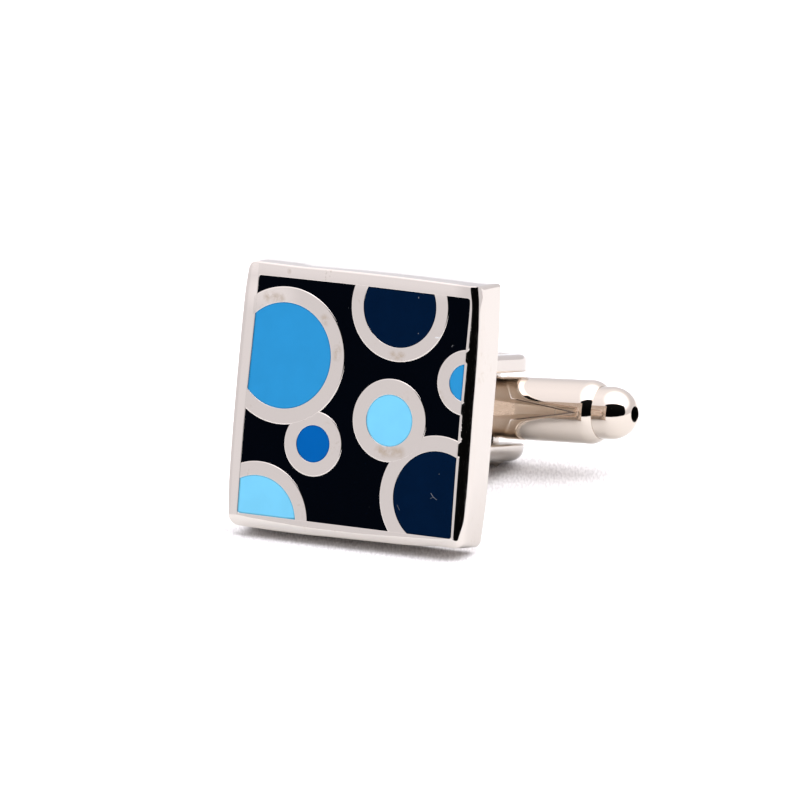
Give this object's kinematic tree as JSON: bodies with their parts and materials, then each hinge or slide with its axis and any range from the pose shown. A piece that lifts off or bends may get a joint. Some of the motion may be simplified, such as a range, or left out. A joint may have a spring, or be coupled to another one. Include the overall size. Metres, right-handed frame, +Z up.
{
  "type": "cufflink",
  "caption": "Square enamelled cufflink with ringed circles on its face, a forked post and a bullet-shaped toggle that swivels on a pin.",
  "frame": {"origin": "on the table under the middle of the bounding box, with the cufflink resting on the bottom edge of its face and on the lower head of its pin", "axes": "+Z up; the face looks along -Y, leaning back; the post runs to +Y; the closed toggle lies along X"},
  "size_m": [0.0196, 0.0216, 0.0163],
  "materials": {
    "plated_metal": "bright plated metal, polished",
    "enamel_black": "hard enamel, polished flush",
    "enamel_blue": "hard enamel, polished flush",
    "enamel_navy": "hard enamel, polished flush",
    "enamel_sky": "hard enamel, polished flush",
    "enamel_royal": "hard enamel, polished flush",
    "solder": "silver solder, satin",
    "plunger_brass": "turned brass",
    "spring_steel": "drawn spring wire"
  },
  "bodies": {
    "face_and_post": {"face_plate": "plated_metal", "enamel_black": "enamel_black", "enamel_blue_large": "enamel_blue", "enamel_navy_upper": "enamel_navy", "enamel_blue_small": "enamel_blue", "enamel_sky_center": "enamel_sky", "enamel_royal": "enamel_royal", "enamel_sky_corner": "enamel_sky", "enamel_navy_corner": "enamel_navy", "post": "plated_metal", "solder_fillet": "solder", "pivot_pin": "plated_metal"},
    "toggle": {"toggle_core": "plated_metal", "sleeve_left": "plated_metal", "sleeve_right": "plated_metal", "cap_left": "plated_metal", "cap_right": "plated_metal", "friction_plunger": "plunger_brass", "plunger_spring": "spring_steel"}
  },
  "joints": [
    {"name": "toggle_swing", "type": "hinge", "parent": "face_and_post", "child": "toggle", "pos_m": [0, 0.00799, 0.00359], "axis": [-0.061, 0.2551, 0.965], "range_deg": [-90, 90]}
  ]
}
